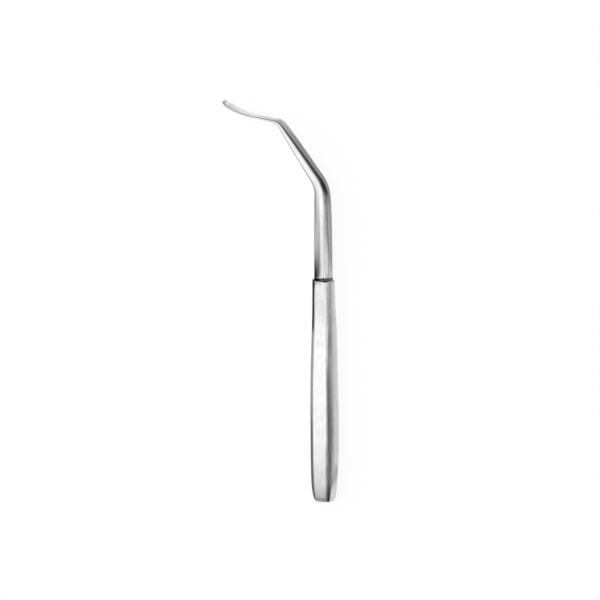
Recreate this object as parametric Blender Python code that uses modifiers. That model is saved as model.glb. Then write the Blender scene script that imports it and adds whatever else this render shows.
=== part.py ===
"""Dental root elevator: a curved spatula blade on a bent, flattened neck, a round shank and a hollow
six-sided handle.

The handle's axis lies along +Y with the blade end forward, the neck bends towards -X and one flat of the
handle rests on the floor.  The origin is the middle of the bounding box, on the floor.  Lengths in the
constants are millimetres; MM turns them into metres when a mesh is written.
"""

import math

import bmesh
import bpy

MM = 0.001
COLLECTION = "dental_elevator"

# Place of the handle's axis and of the shoulder where the shank meets the handle.
AXIS_X = 18.4348
AXIS_Z = 5.41266
SHOULDER_Y = 10.9946

# Points around every section: six per side of the hexagon, and the same count on round sections so that
# the faces of two mating pieces line up.
SIDES = 6
POINTS_PER_SIDE = 6
RING_POINTS = SIDES * POINTS_PER_SIDE
FIT_GAP = 0.05

# Tang and joint, measured from the shoulder towards the butt.
TANG_RADIUS = 2.0
TANG_LENGTH = 18.0
TANG_CHAMFER = 0.5
RING_THICKNESS = 0.95
RING_RADIUS = 3.72
BUSH_LENGTH = 14.0
BUSH_RADIUS = 3.05
BUSH_CHAMFER = 0.4
BUSH_GROOVE_DEPTH = 0.3
BUSH_GROOVE_HALF_WIDTH = 1.0

# Handle: sharp-corner radius of the hexagon at distances from the shoulder.  The two equal values are the
# straight stretch that the handle rests on.
SHELL_START = 1.05
SHELL_END = 89.0
BARREL = (
    (0.0, 4.72),
    (10.0, 4.92),
    (25.0, 5.50),
    (41.0, 5.95),
    (58.0, 6.25),
    (67.0, 6.25),
    (77.0, 6.03),
    (84.0, 5.64),
    (88.0, 5.22),
    (89.8, 4.84),
    (90.8, 4.32),
    (91.4, 3.60),
)
SHELL_STATIONS = (1.05, 1.4, 5.0, 10.0, 15.0, 20.0, 25.0, 33.0, 41.0, 49.0, 58.0, 67.0, 72.0, 77.0, 80.5,
                  84.0, 86.0, 88.0, 89.0)
FRONT_CHAMFER = 0.25
CORNER_FILLET = 0.6
FILLET_POINTS = 4
WALL = 0.9
FRONT_BORE_LENGTH = 15.7
FRONT_BORE_RADIUS = BUSH_RADIUS + FIT_GAP
REAR_BORE_LENGTH = 5.0
REAR_BORE_RADIUS = 3.1
BORE_STEP = 2.0

# Weld seam and end cap.
WELD_START = SHELL_END + FIT_GAP
WELD_END = 89.35
CAP_START = WELD_END + FIT_GAP
CAP_STATIONS = (CAP_START, 89.8, 90.3, 90.8, 91.1, 91.4)
CAP_END = 91.6
CAP_FACE_RADIUS = 2.8
SPIGOT_RADIUS = REAR_BORE_RADIUS - FIT_GAP
SPIGOT_START = SHELL_END - REAR_BORE_LENGTH + 0.6
SPIGOT_CHAMFER = 0.4

# Centre line of the working end from the shoulder: straight runs and bends (radius, angle in degrees; a
# positive bend turns towards -X).
SHANK_RUN = 33.2
LOWER_BEND_RADIUS = 12.3
LOWER_BEND_ANGLE = 35.7
NECK_RUN = 25.6
UPPER_BEND_RADIUS = 3.4
UPPER_BEND_ANGLE = 45.8
BLADE_RUN = 9.5
BLADE_CURVE_RADIUS = 33.4
BLADE_CURVE_ANGLE = -26.1

# Sections of the working end: distance from the shoulder, half thickness in the plane of the bends, half
# width across it, and squareness (2 is an ellipse, more is closer to a rectangle).
SECTIONS = (
    (0.0, 3.68, 3.68, 2.0),
    (22.0, 3.58, 3.58, 2.0),
    (30.0, 3.38, 3.42, 2.05),
    (34.5, 2.90, 3.30, 2.3),
    (38.0, 2.42, 3.15, 2.8),
    (42.0, 2.02, 3.06, 3.6),
    (51.0, 1.68, 3.02, 4.6),
    (64.5, 0.94, 3.02, 5.0),
    (68.0, 0.64, 3.03, 5.0),
    (74.0, 0.46, 3.06, 5.0),
    (90.0, 0.32, 3.12, 5.0),
    (94.0, 0.14, 3.12, 4.0),
)
TIP_ROUNDING = 3.4
SHOULDER_CHAMFER = 0.25

METALS = {
    "forged_stainless": ((0.78, 0.78, 0.79), 0.16),
    "braze_alloy": ((0.14, 0.13, 0.12), 0.45),
    "turned_stainless": ((0.66, 0.66, 0.67), 0.32),
    "handle_stainless": ((0.76, 0.76, 0.77), 0.24),
    "cap_stainless": ((0.74, 0.74, 0.75), 0.27),
    "weld_stainless": ((0.58, 0.57, 0.56), 0.36),
}


def clear_scene():
    """Remove every object that is in the file."""
    for item in list(bpy.data.objects):
        bpy.data.objects.remove(item, do_unlink=True)


def make_metal(name):
    """Return a plain metal material with the colour and roughness listed for the name."""
    colour, roughness = METALS[name]
    material = bpy.data.materials.new(name)
    material.use_nodes = True
    shader = material.node_tree.nodes["Principled BSDF"]
    shader.inputs["Base Color"].default_value = (*colour, 1.0)
    shader.inputs["Metallic"].default_value = 1.0
    shader.inputs["Roughness"].default_value = roughness
    return material


def smooth_value(rows, column, place):
    """Read one column of a table at a place, on a curve that never overshoots its rows."""
    xs = [row[0] for row in rows]
    ys = [row[column] for row in rows]
    if place <= xs[0]:
        return ys[0]
    if place >= xs[-1]:
        return ys[-1]
    slopes = [(ys[i + 1] - ys[i]) / (xs[i + 1] - xs[i]) for i in range(len(xs) - 1)]
    tangents = [slopes[0]]
    for before, after in zip(slopes[:-1], slopes[1:]):
        if before * after <= 0.0:
            tangents.append(0.0)
        else:
            tangents.append(2.0 * before * after / (before + after))
    tangents.append(slopes[-1])
    index = max(i for i in range(len(xs) - 1) if xs[i] <= place)
    span = xs[index + 1] - xs[index]
    t = (place - xs[index]) / span
    return ((2 * t**3 - 3 * t**2 + 1) * ys[index]
            + (t**3 - 2 * t**2 + t) * span * tangents[index]
            + (3 * t**2 - 2 * t**3) * ys[index + 1]
            + (t**3 - t**2) * span * tangents[index + 1])


def hexagon(corner_radius, fillet):
    """Return the points of a hexagon with rounded corners, one corner on +X, as (across, up) pairs."""
    points = []
    half_arc = math.pi / SIDES
    centre_distance = corner_radius - fillet / math.cos(half_arc)
    for side in range(SIDES):
        corner = 2.0 * math.pi * side / SIDES
        centre = (centre_distance * math.cos(corner), centre_distance * math.sin(corner))
        for step in range(FILLET_POINTS):
            angle = corner - half_arc + 2.0 * half_arc * step / (FILLET_POINTS - 1)
            points.append((centre[0] + fillet * math.cos(angle), centre[1] + fillet * math.sin(angle)))
        following = corner + 2.0 * half_arc
        start = points[-1]
        end = (centre_distance * math.cos(following) + fillet * math.cos(following - half_arc),
               centre_distance * math.sin(following) + fillet * math.sin(following - half_arc))
        flat_points = POINTS_PER_SIDE - FILLET_POINTS
        for step in range(1, flat_points + 1):
            share = step / (flat_points + 1)
            points.append((start[0] + share * (end[0] - start[0]), start[1] + share * (end[1] - start[1])))
    return points


def circle(radius):
    """Return the points of a circle that keep step with the points of a hexagon."""
    turn = 2.0 * math.pi / RING_POINTS
    first = -1.5
    return [(radius * math.cos(turn * (i + first)), radius * math.sin(turn * (i + first)))
            for i in range(RING_POINTS)]


def on_axis(section, distance):
    """Stand a section across the handle's axis at a distance behind the shoulder."""
    return [(across, -distance, up) for across, up in section]


def loft(name, rings, material, collection, joined_ends=False):
    """Skin a row of rings that all have the same number of points and add the piece to the scene.

    Joined ends turn the skin into a tube whose last ring meets the first; otherwise both ends are closed.
    """
    mesh = bpy.data.meshes.new(name)
    shape = bmesh.new()
    loops = [[shape.verts.new((x * MM, y * MM, z * MM)) for x, y, z in ring] for ring in rings]
    pairs = list(zip(loops[:-1], loops[1:]))
    if joined_ends:
        pairs.append((loops[-1], loops[0]))
    else:
        shape.faces.new(loops[0])
        shape.faces.new(loops[-1])
    for near, far in pairs:
        count = len(near)
        for i in range(count):
            following = (i + 1) % count
            shape.faces.new((near[i], near[following], far[following], far[i]))
    bmesh.ops.recalc_face_normals(shape, faces=shape.faces)
    shape.to_mesh(mesh)
    shape.free()
    return add_piece(name, mesh, material, collection)


def lathe(name, profile, material, collection):
    """Turn a closed (radius, distance behind the shoulder) profile about the handle's axis."""
    mesh = bpy.data.meshes.new(name)
    edges = [(i, (i + 1) % len(profile)) for i in range(len(profile))]
    mesh.from_pydata([(radius * MM, 0.0, -distance * MM) for radius, distance in profile], edges, [])
    piece = add_piece(name, mesh, material, collection)
    piece.rotation_euler = (-math.pi / 2.0, 0.0, 0.0)
    turning = piece.modifiers.new("turning", "SCREW")
    turning.axis = "Z"
    turning.angle = 2.0 * math.pi
    turning.steps = RING_POINTS
    turning.render_steps = RING_POINTS
    turning.use_merge_vertices = True
    turning.merge_threshold = 0.000001
    turning.use_smooth_shade = True
    return piece


def add_piece(name, mesh, material, collection):
    """Put a mesh in the collection with its material, on the handle's axis at the shoulder."""
    for polygon in mesh.polygons:
        polygon.use_smooth = True
    mesh.materials.append(material)
    piece = bpy.data.objects.new(name, mesh)
    piece.location = (AXIS_X * MM, SHOULDER_Y * MM, AXIS_Z * MM)
    collection.objects.link(piece)
    return piece


def centre_line(steps_per_segment):
    """Return (distance, x, y, heading) along the working end; heading is the turn from +Y towards -X."""
    segments = (
        (SHANK_RUN, 0.0),
        (LOWER_BEND_RADIUS * math.radians(LOWER_BEND_ANGLE), math.radians(LOWER_BEND_ANGLE)),
        (NECK_RUN, 0.0),
        (UPPER_BEND_RADIUS * math.radians(UPPER_BEND_ANGLE), math.radians(UPPER_BEND_ANGLE)),
        (BLADE_RUN, 0.0),
        (BLADE_CURVE_RADIUS * math.radians(-BLADE_CURVE_ANGLE), math.radians(BLADE_CURVE_ANGLE)),
    )
    distance = 0.0
    x = 0.0
    y = 0.0
    heading = 0.0
    stations = [(distance, x, y, heading)]
    for (length, turn), steps in zip(segments, steps_per_segment):
        for _ in range(steps):
            middle = heading + 0.5 * turn / steps
            x -= math.sin(middle) * length / steps
            y += math.cos(middle) * length / steps
            heading += turn / steps
            distance += length / steps
            stations.append((distance, x, y, heading))
    return stations


def working_section(distance, x, y, heading, half_width_limit):
    """Return one ring of the working end, square to the centre line."""
    thickness = smooth_value(SECTIONS, 1, distance)
    width = min(smooth_value(SECTIONS, 2, distance), half_width_limit)
    squareness = smooth_value(SECTIONS, 3, distance)
    power = 2.0 / squareness
    ring = []
    for across, up in circle(1.0):
        offset = math.copysign(abs(across) ** power, across) * thickness
        rise = math.copysign(abs(up) ** power, up) * width
        ring.append((x + offset * math.cos(heading), y + offset * math.sin(heading), rise))
    return ring


def build_working_end(material, collection):
    """Blade, neck, shank and tang in one forging."""
    rings = [on_axis(circle(TANG_RADIUS - TANG_CHAMFER), TANG_LENGTH),
             on_axis(circle(TANG_RADIUS), TANG_LENGTH - TANG_CHAMFER),
             on_axis(circle(TANG_RADIUS), 0.0)]
    start_radius = SECTIONS[0][1]
    rings.append(on_axis(circle(start_radius - SHOULDER_CHAMFER), 0.0))
    stations = centre_line((8, 12, 8, 7, 5, 12))
    total = stations[-1][0]
    rings.append(on_axis(circle(start_radius), -SHOULDER_CHAMFER))
    for distance, x, y, heading in stations[1:]:
        to_go = total - distance
        limit = math.inf
        if to_go < TIP_ROUNDING:
            share = 1.0 - to_go / TIP_ROUNDING
            limit = smooth_value(SECTIONS, 2, distance) * math.sqrt(max(1.0 - share * share, 0.04))
        rings.append(working_section(distance, x, y, heading, limit))
    loft("working_end", rings, material, collection)


def build_braze_ring(material, collection):
    """The ring of braze around the tang, between the shoulder and the handle."""
    inner = TANG_RADIUS + FIT_GAP
    start = FIT_GAP
    end = FIT_GAP + RING_THICKNESS
    lathe("braze_ring", ((inner, start), (RING_RADIUS, start), (RING_RADIUS, end), (inner, end)),
          material, collection)


def build_front_bush(material, collection):
    """The turned plug that centres the tang in the shell, with a groove for the braze."""
    inner = TANG_RADIUS + FIT_GAP
    start = SHELL_START
    end = SHELL_START + BUSH_LENGTH
    middle = 0.5 * (start + end)
    bottom = BUSH_RADIUS - BUSH_GROOVE_DEPTH
    lathe("front_bush", (
        (inner, start),
        (BUSH_RADIUS - BUSH_CHAMFER, start),
        (BUSH_RADIUS, start + BUSH_CHAMFER),
        (BUSH_RADIUS, middle - BUSH_GROOVE_HALF_WIDTH),
        (bottom, middle - BUSH_GROOVE_HALF_WIDTH + BUSH_GROOVE_DEPTH),
        (bottom, middle + BUSH_GROOVE_HALF_WIDTH - BUSH_GROOVE_DEPTH),
        (BUSH_RADIUS, middle + BUSH_GROOVE_HALF_WIDTH),
        (BUSH_RADIUS, end - BUSH_CHAMFER),
        (BUSH_RADIUS - BUSH_CHAMFER, end),
        (inner, end),
    ), material, collection)


def barrel_section(distance, inset=0.0):
    """Return the handle's outer hexagon at a distance behind the shoulder."""
    return hexagon(smooth_value(BARREL, 1, distance) - inset, CORNER_FILLET)


def cavity_radius(distance):
    """Return the radius of the round hollow that leaves the wall at the middle of each flat."""
    return smooth_value(BARREL, 1, distance) * math.cos(math.pi / SIDES) - WALL


def build_handle_shell(material, collection):
    """The hollow six-sided handle, open at both ends."""
    outer = [on_axis(barrel_section(SHELL_START, FRONT_CHAMFER), SHELL_START)]
    outer += [on_axis(barrel_section(distance), distance) for distance in SHELL_STATIONS[1:]]
    rear_bore_start = SHELL_END - REAR_BORE_LENGTH
    inner = [on_axis(circle(REAR_BORE_RADIUS), SHELL_END),
             on_axis(circle(REAR_BORE_RADIUS), rear_bore_start)]
    hollow = [distance for distance in SHELL_STATIONS
              if FRONT_BORE_LENGTH + BORE_STEP < distance < rear_bore_start - BORE_STEP]
    inner += [on_axis(circle(cavity_radius(distance)), distance) for distance in reversed(hollow)]
    inner += [on_axis(circle(FRONT_BORE_RADIUS), FRONT_BORE_LENGTH),
              on_axis(circle(FRONT_BORE_RADIUS), SHELL_START)]
    loft("handle_shell", outer + inner, material, collection, joined_ends=True)


def build_butt_weld(material, collection):
    """The seam ring between shell and cap, dressed flush with the flats."""
    loft("butt_weld", (
        on_axis(barrel_section(WELD_START), WELD_START),
        on_axis(barrel_section(WELD_END), WELD_END),
        on_axis(circle(REAR_BORE_RADIUS), WELD_END),
        on_axis(circle(REAR_BORE_RADIUS), WELD_START),
    ), material, collection, joined_ends=True)


def build_butt_cap(material, collection):
    """The end cap: a spigot in the rear bore and a head with a rounded rim."""
    rings = [on_axis(circle(SPIGOT_RADIUS - SPIGOT_CHAMFER), SPIGOT_START),
             on_axis(circle(SPIGOT_RADIUS), SPIGOT_START + SPIGOT_CHAMFER),
             on_axis(circle(SPIGOT_RADIUS), CAP_START)]
    rings += [on_axis(barrel_section(distance), distance) for distance in CAP_STATIONS]
    rings.append(on_axis(hexagon(CAP_FACE_RADIUS, CORNER_FILLET), CAP_END))
    loft("butt_cap", rings, material, collection)


def main():
    """Build the whole elevator."""
    clear_scene()
    collection = bpy.data.collections.new(COLLECTION)
    bpy.context.scene.collection.children.link(collection)
    build_working_end(make_metal("forged_stainless"), collection)
    build_braze_ring(make_metal("braze_alloy"), collection)
    build_front_bush(make_metal("turned_stainless"), collection)
    build_handle_shell(make_metal("handle_stainless"), collection)
    build_butt_weld(make_metal("weld_stainless"), collection)
    build_butt_cap(make_metal("cap_stainless"), collection)


main()
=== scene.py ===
"""Looks of the dental elevator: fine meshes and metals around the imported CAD, on a plain pale floor."""

import math

import bmesh
import bpy
import numpy as np
from mathutils import Matrix, Vector


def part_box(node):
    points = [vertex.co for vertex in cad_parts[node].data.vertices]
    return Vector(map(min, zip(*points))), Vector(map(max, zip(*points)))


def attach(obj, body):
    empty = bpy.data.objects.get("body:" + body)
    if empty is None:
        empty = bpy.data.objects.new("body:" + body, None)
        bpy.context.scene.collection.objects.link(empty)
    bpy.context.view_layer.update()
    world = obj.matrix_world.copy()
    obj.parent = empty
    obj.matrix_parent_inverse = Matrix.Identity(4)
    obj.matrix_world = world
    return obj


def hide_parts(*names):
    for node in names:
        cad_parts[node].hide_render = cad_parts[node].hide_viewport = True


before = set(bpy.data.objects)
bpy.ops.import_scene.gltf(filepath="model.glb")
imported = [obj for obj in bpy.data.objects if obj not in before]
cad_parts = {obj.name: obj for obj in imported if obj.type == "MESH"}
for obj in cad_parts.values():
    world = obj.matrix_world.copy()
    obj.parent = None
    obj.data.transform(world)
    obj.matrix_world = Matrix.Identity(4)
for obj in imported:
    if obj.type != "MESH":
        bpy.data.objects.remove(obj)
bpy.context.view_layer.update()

MM = 0.001

# The handle's axis and the shoulder, read from the CAD's own boxes.  Distances along the handle are in
# millimetres behind the shoulder, as in the CAD, and along the working end in millimetres ahead of it.
shell_low, shell_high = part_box("handle_shell")
ring_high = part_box("braze_ring")[1]
FIT_GAP = 0.05
AXIS = Vector(((shell_low.x + shell_high.x) / 2, ring_high.y + FIT_GAP * MM,
               (shell_low.z + shell_high.z) / 2))

# Handle.  A table holds (distance, value) rows.  BARREL is the radius to the hexagon's sharp corners, SWAY
# the shift of the section towards +X, and CROWN the bulge of a flat in degrees.  SIDE_FILLET rounds the
# corners on +X and -X, EDGE_FILLET the upper right and lower left ones, and BACK_FILLET the other two.  A
# fillet takes up no more than its largest share of the radius.
SIDES = 6
HALF_ARC = math.pi / SIDES
SHELL_START = 1.05
SHELL_END = 89.0
CAP_START = 89.4
CAP_END = 91.6
BARREL_STEP = 0.1
BARREL_BEYOND = 2.0
BARREL_EASING = 9.0
BARREL = ((0.0, 4.90), (10.0, 5.06), (25.0, 5.64), (41.0, 6.02), (58.0, 6.25), (66.0, 6.25), (75.0, 6.14),
          (82.0, 5.82), (85.0, 5.60), (87.1, 5.34), (88.7, 5.01), (89.8, 4.78), (91.0, 4.50), (93.0, 4.00))
SIDE_FILLET = 0.55
LARGEST_EDGE_FILLET = 0.78
LARGEST_FILLET = 0.5
BACK_FILLET = ((0.0, 1.30), (16.0, 1.15), (28.0, 0.55), (91.4, 0.55))
EDGE_FILLET = ((0.0, 3.60), (5.0, 3.45), (10.0, 2.90), (18.0, 2.10), (28.0, 1.30), (50.0, 1.10),
               (66.0, 1.30), (75.0, 1.70), (83.0, 2.00), (89.0, 2.20), (91.4, 1.80))
SWAY = ((0.0, 0.0), (9.0, 0.06), (20.0, 0.22), (28.0, 0.15), (40.0, 0.0), (91.6, 0.0))
CROWN = ((0.0, 2.4), (50.0, 3.0), (91.6, 3.6))
NARROWEST_FLAT = 0.1
FILLET_STEPS = 8
FLAT_STEPS = 18
GRIP_STEP = 0.6

# Faint waves left by hand grinding: share of the radius, length along the handle, how far they drift round
# it, and the number and start of the drifts.
GRIND_WAVES = ((0.0014, 31.0, 2.1, 1, 0.4), (0.0009, 17.3, 3.0, 1, math.pi / 2 - 1.1),
               (0.0004, 9.1, 2.5, 2, 0.0))

# Uneven grinding of the rear: how strong it is by distance, and how far to the right it moves a place by
# where that place is across the section.
REAR_WEAR = ((0.0, 0.0), (66.0, 0.0), (75.0, 0.20), (83.0, 0.68), (87.0, 0.95), (91.6, 1.10))
WEAR_ACROSS = ((-1.0, -0.52), (-0.5, -0.15), (0.5, 0.52), (1.0, -0.52))

# Ends, bores and small parts of the handle.  END_FACE_RADIUS is where the cap's rounding meets its flat
# end, and END_FLATTEN how much lower than wide that end is.  WALL is the shell's thickness at its hollow.
FRONT_ROUND = 0.55
FRONT_STEPS = 8
END_ROUND_START = 89.5
END_ROUND_POWER = 2.8
END_FACE_RADIUS = 3.8
END_FACE_SHARES = (0.66, 0.33)
END_FLATTEN = 0.09
CAP_STEPS = 30
WALL = 0.9
FRONT_BORE_END = 15.7
HOLLOW_FRONT = 19.0
HOLLOW_SLOPE = 3.0
HOLLOW_STEP = 4.0
REAR_BORE_RADIUS = 3.1
REAR_BORE_LENGTH = 5.0
SPIGOT_GAP = 0.6
SEAM_GAP = 0.006
SEAM_DEPTH = 0.008
RIM = 0.05
WELD_INSETS = (0.012, 0.006, 0.004, 0.006, 0.012)
CHAMFER = 0.4
BUSH_RADIUS = 3.05
BUSH_LENGTH = 14.0
GROOVE_DEPTH = 0.3
GROOVE_TOP = 1.0
GROOVE_FLOOR = 0.7
RING_END = 1.0
RING_RADIUS = 3.80
RING_HOLLOW = 0.12
RING_STEPS = 8
RING_WOBBLE = 0.02
LATHE_COUNT = 144

# Ripples round a lathed piece: share, number round it, start, and how far each ring turns them.
RIPPLES = ((1.0, 3, 0.0, 1.0), (0.6, 7, 2.1, 0.0), (0.4, 16, 0.0, 0.0))

# Tang and shoulder.
TANG_RADIUS = 2.0
TANG_LENGTH = 18.0
TANG_CHAMFER = 0.5
TANG_FLARE = 0.05
TANG_FLARE_START = 0.2
SHOULDER_EDGE = 0.2
SHOULDER_STEPS = 5

# Working end: a straight shank, two bends towards -X, and a blade that curves back.  A bend is its radius
# and its angle.  The tables hold (distance, value) rows: half sizes of the section, the radius of the round
# shank, how far the section has gone from round to square (SQUARING), the roundings of the outer and inner
# edges, how much the inner face thins towards its edges (BACK_TAPER), how far the section moves towards
# that face (BACK_SHIFT), its twist in degrees, and the hollow of the outer face.
SHANK_RUN = 33.2
LOWER_BEND = (12.3, math.radians(35.7))
NECK_RUN = 25.6
UPPER_BEND = (3.4, math.radians(45.8))
BLADE_RUN = 9.38
BLADE_CURVE = (32.95, math.radians(-26.1))
HALF_THICKNESS = ((0.0, 3.62), (24.0, 3.40), (30.0, 3.20), (34.5, 2.80), (38.0, 2.43), (42.0, 2.10),
                  (51.0, 1.77), (64.5, 0.98), (68.0, 0.68), (74.0, 0.54), (80.0, 0.53), (85.0, 0.56),
                  (88.0, 0.58), (90.5, 0.56), (92.5, 0.38), (93.5, 0.22))
HALF_WIDTH = ((0.0, 3.62), (24.0, 3.45), (34.5, 3.25), (42.0, 3.06), (51.0, 3.02), (68.0, 3.03),
              (90.0, 3.12), (94.2, 3.12))
ROUND_RADIUS = ((0.0, 3.68), (22.0, 3.58), (30.0, 3.40), (42.0, 2.60), (94.2, 2.60))
SQUARING = ((16.0, 0.0), (24.0, 0.22), (32.0, 0.72), (38.0, 1.0))
OUTER_CORNER = ((0.0, 3.2), (24.0, 3.10), (34.5, 2.75), (42.0, 2.15), (51.0, 1.66), (62.0, 1.04),
                (70.0, 0.56), (80.0, 0.38), (90.0, 0.28), (94.2, 0.12))
INNER_CORNER = ((0.0, 3.0), (24.0, 2.60), (34.5, 1.60), (42.0, 0.90), (62.0, 0.52), (70.0, 0.44),
                (90.0, 0.38), (94.2, 0.14))
BACK_TAPER = ((0.0, 0.0), (64.0, 0.0), (74.0, 0.76), (82.0, 0.86), (94.2, 0.86))
BACK_SHIFT = ((0.0, 0.0), (70.0, 0.0), (80.0, 0.075), (85.0, 0.20), (88.0, 0.25), (90.5, 0.20),
              (92.5, 0.08), (93.5, 0.0))
TWIST = ((0.0, 0.0), (70.0, 0.0), (78.0, 1.2), (86.0, 3.2), (93.5, 4.4))
FACE_HOLLOW = ((0.0, 0.0), (66.0, 0.0), (74.0, 0.03), (94.2, 0.05))
LINE_STEP = 0.05
BEND_EASING = 14.0
LARGEST_CORNER = 0.94

# Tip.  The upper and lower roundings are a length and a power, and a setback is a length and a depth.
TIP_ROUNDING = 3.0
TOP_ROUNDING = (4.4, 2.0)
FOOT_ROUNDING = (2.4, 3.2)
NARROWEST_TIP = 0.08
TIP_SETBACKS = ((TIP_ROUNDING, 0.15), (1.0, 0.22))

# Rings of the working end, closer together from just before the bends to just after them.
FIRST_RING = 0.3
RING_STEP = 0.45
BEND_STEP = 0.28
BENDS = (SHANK_RUN - 4.0, 72.0)
CLOSEST_RINGS = 0.1
TIP_RINGS = 28

# A round section keeps step with a square one by giving these arcs to its corners, faces and edges.
CORNER_STEPS = 12
FACE_STEPS = 26
EDGE_STEPS = 10
CORNER_ARC = math.radians(34.0)
FACE_ARC = math.radians(62.0)
EDGE_ARC = math.radians(50.0)

# An edge sharper than this isn't smoothed over, and a closed end's map reaches this far.
SHARP_ANGLE = math.radians(32.0)
END_FLOW = 0.3


def unit(angle):
    """The flat unit vector at an angle."""
    return np.array((math.cos(angle), math.sin(angle)))


def table_value(rows, place):
    """Read a table on a curve that never overshoots its rows."""
    xs = [row[0] for row in rows]
    ys = [row[1] for row in rows]
    if place <= xs[0]:
        return ys[0]
    if place >= xs[-1]:
        return ys[-1]
    slopes = [(ys[i + 1] - ys[i]) / (xs[i + 1] - xs[i]) for i in range(len(xs) - 1)]
    tangents = [slopes[0]]
    for before, after in zip(slopes[:-1], slopes[1:]):
        tangents.append(0.0 if before * after <= 0.0 else 2.0 * before * after / (before + after))
    tangents.append(slopes[-1])
    index = max(i for i in range(len(xs) - 1) if xs[i] <= place)
    span = xs[index + 1] - xs[index]
    t = (place - xs[index]) / span
    return ((2 * t**3 - 3 * t**2 + 1) * ys[index] + (t**3 - 2 * t**2 + t) * span * tangents[index]
            + (3 * t**2 - 2 * t**3) * ys[index + 1] + (t**3 - t**2) * span * tangents[index + 1])


def softened(values, spread):
    """Blur a row of evenly spaced values, keeping its ends."""
    reach = int(3 * spread)
    kernel = np.exp(-0.5 * (np.arange(-reach, reach + 1) / spread) ** 2)
    kernel /= kernel.sum()
    first = 2 * values[0] - values[reach:0:-1]
    last = 2 * values[-1] - values[-2:-reach - 2:-1]
    return np.convolve(np.concatenate((first, values, last)), kernel, "valid")


BARREL_PLACES = np.arange(0.0, END_ROUND_START + BARREL_BEYOND, BARREL_STEP)
BARREL_RADII = softened(np.array([table_value(BARREL, place) for place in BARREL_PLACES]), BARREL_EASING)


def end_share(distance):
    """How far along the rounded end a place is, from 0 to 1."""
    return min(max((distance - END_ROUND_START) / (CAP_END - END_ROUND_START), 0.0), 1.0)


def barrel_radius(distance):
    """Sharp-corner radius of the handle's hexagon, with the rounded end of the cap."""
    radius = float(np.interp(distance, BARREL_PLACES, BARREL_RADII))
    if distance > END_ROUND_START:
        left = max(1.0 - end_share(distance) ** END_ROUND_POWER, 0.0)
        radius = END_FACE_RADIUS + (radius - END_FACE_RADIUS) * math.sqrt(left)
    return radius


def hexagon(corner_radius, fillets, crown):
    """Six slightly crowned flats with filleted corners, the first corner on +X."""
    flat = corner_radius * math.cos(HALF_ARC)
    mean_fillet = sum(fillets) / SIDES
    width = 2.0 * corner_radius * math.sin(HALF_ARC) - 2.0 * mean_fillet * math.tan(HALF_ARC)
    rise = max(width, NARROWEST_FLAT) * math.tan(crown / 2) / 2
    sweep = HALF_ARC - crown

    def hub(side):
        corner = 2.0 * math.pi * side / SIDES
        centre = (flat - rise - fillets[side % SIDES] * math.cos(crown)) / math.cos(HALF_ARC)
        return unit(corner) * centre

    points = []
    for side in range(SIDES):
        corner = 2.0 * math.pi * side / SIDES
        for step in range(FILLET_STEPS + 1):
            angle = corner - sweep + 2.0 * sweep * step / FILLET_STEPS
            points.append(hub(side) + fillets[side] * unit(angle))
        start = points[-1]
        angle = corner + 2.0 * HALF_ARC - sweep
        end = hub(side + 1) + fillets[(side + 1) % SIDES] * unit(angle)
        normal = unit(corner + HALF_ARC)
        for step in range(1, FLAT_STEPS):
            share = step / FLAT_STEPS
            points.append(start + share * (end - start) + normal * rise * (1.0 - (2.0 * share - 1.0) ** 2))
    return points


def grip_section(distance, inset=0.0):
    """The handle's outline at a distance, with the faint waves left by hand grinding."""
    radius = barrel_radius(distance) - inset / math.cos(HALF_ARC)
    large = min(table_value(EDGE_FILLET, distance), LARGEST_EDGE_FILLET * radius)
    side = min(SIDE_FILLET, LARGEST_FILLET * radius)
    back = min(table_value(BACK_FILLET, distance), LARGEST_FILLET * radius)
    fillets = (side, large, back, side, large, back)
    wear = table_value(REAR_WEAR, distance)
    sway = table_value(SWAY, distance)
    flatten = 1.0 - END_FLATTEN * end_share(distance) ** 2
    points = []
    for x, z in hexagon(radius, fillets, math.radians(table_value(CROWN, distance))):
        angle = math.atan2(z, x)
        shrink = 1.0
        for share, length, drift, turns, start in GRIND_WAVES:
            phase = 2.0 * math.pi * distance / length + drift * math.cos(turns * angle - start)
            shrink -= share * (1.0 - math.sin(phase))
        shift = sway + wear * table_value(WEAR_ACROSS, x / radius)
        points.append((x * shrink + shift, z * shrink * flatten))
    return points


HEX_COUNT = SIDES * (FILLET_STEPS + FLAT_STEPS)


def circle(radius, count=HEX_COUNT):
    """A circle whose points keep step with the hexagon's."""
    turn = 2.0 * math.pi / count
    first = -FILLET_STEPS / 2
    return [radius * unit(turn * (i + first)) for i in range(count)]


def on_axis(section, distance):
    """Stand a flat section across the handle's axis."""
    return [(x, -distance, z) for x, z in section]


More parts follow.
